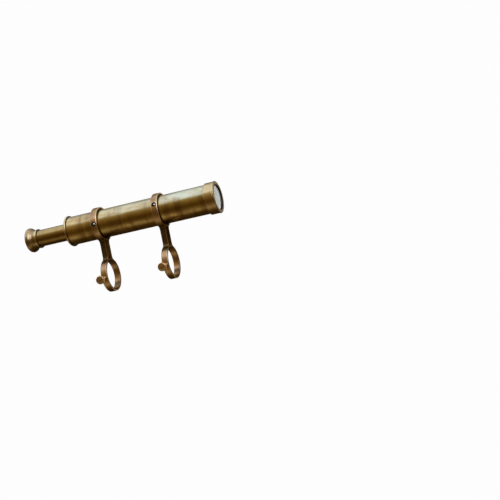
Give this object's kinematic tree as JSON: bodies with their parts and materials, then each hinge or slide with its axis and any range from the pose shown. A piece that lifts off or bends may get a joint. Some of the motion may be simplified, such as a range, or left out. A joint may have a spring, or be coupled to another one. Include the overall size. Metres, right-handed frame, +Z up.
{
  "type": "finder scope",
  "caption": "Small brass sighting telescope with a sliding eyepiece tube, carried on two posts whose clamp rings slip over a larger telescope's tube.",
  "frame": {"origin": "halfway between the two clamp rings, on the axis of the tube they clamp", "axes": "+X along the sight tube toward the objective lens, +Z up from the clamp rings to the sight tube, the clamp screws stand out toward -Y"},
  "size_m": [0.3212, 0.0706, 0.133],
  "materials": {
    "tube_brass": "aged drawn brass tube, satin, darkened by handling",
    "cast_brass": "aged cast brass, turned rings, brown patina",
    "turned_brass": "aged turned brass, bright on the edges",
    "bush_bronze": "reamed bronze",
    "screw_brass": "dark aged brass screw",
    "bright_steel": "polished steel screw",
    "blackened_brass": "matt black lacquer",
    "lens_glass": "polished optical glass, uncoated",
    "wire_steel": "fine drawn wire"
  },
  "bodies": {
    "sight_body": {"main_tube": "tube_brass", "rear_tube_ring": "cast_brass", "rear_post": "cast_brass", "rear_clamp_ring": "cast_brass", "front_tube_ring": "cast_brass", "front_post": "cast_brass", "front_clamp_ring": "cast_brass", "rear_tube_screw": "bright_steel", "front_tube_screw": "bright_steel", "rear_collar": "turned_brass", "guide_bush": "bush_bronze", "objective_cell": "turned_brass", "crown_lens": "lens_glass", "flint_lens": "lens_glass", "lens_retainer": "blackened_brass", "front_glare_stop": "blackened_brass", "rear_glare_stop": "blackened_brass"},
    "eyepiece_slide": {"draw_tube": "tube_brass", "draw_stop_ring": "turned_brass", "eyepiece_ring": "turned_brass", "eye_cup": "turned_brass", "eyepiece_barrel": "blackened_brass", "eye_lens_cell": "blackened_brass", "eye_lens": "lens_glass", "lens_spacer": "blackened_brass", "field_lens": "lens_glass", "field_stop": "blackened_brass", "upright_wire": "wire_steel", "level_wire": "wire_steel"},
    "rear_clamp_shank": {"rear_clamp_shank": "screw_brass"},
    "rear_clamp_head": {"rear_clamp_head": "screw_brass"},
    "front_clamp_shank": {"front_clamp_shank": "screw_brass"},
    "front_clamp_head": {"front_clamp_head": "screw_brass"}
  },
  "joints": [
    {"name": "focus_slide", "type": "slide", "parent": "sight_body", "child": "eyepiece_slide", "axis": [-1, 0, 0], "range_m": [-0.0535, 0.0195]},
    {"name": "rear_clamp_turn", "type": "hinge", "parent": "rear_clamp_shank", "child": "rear_clamp_head", "pos_m": [-0.0508, -0.0406, -0.00571], "axis": [0, -0.9903, -0.1392], "range_deg": [0, 1080]},
    {"name": "rear_clamp_travel", "type": "slide", "parent": "sight_body", "child": "rear_clamp_shank", "axis": [0, -0.9903, -0.1392], "range_m": [0, 0.00244]},
    {"name": "front_clamp_turn", "type": "hinge", "parent": "front_clamp_shank", "child": "front_clamp_head", "pos_m": [0.0508, -0.0406, -0.00571], "axis": [0, -0.9903, -0.1392], "range_deg": [0, 1080]},
    {"name": "front_clamp_travel", "type": "slide", "parent": "sight_body", "child": "front_clamp_shank", "axis": [0, -0.9903, -0.1392], "range_m": [0, 0.00244]}
  ],
  "couplings": [
    {"joint": "rear_clamp_travel", "follows": "rear_clamp_turn", "m_per_rad": 0.00012892},
    {"joint": "front_clamp_travel", "follows": "front_clamp_turn", "m_per_rad": 0.00012892}
  ]
}
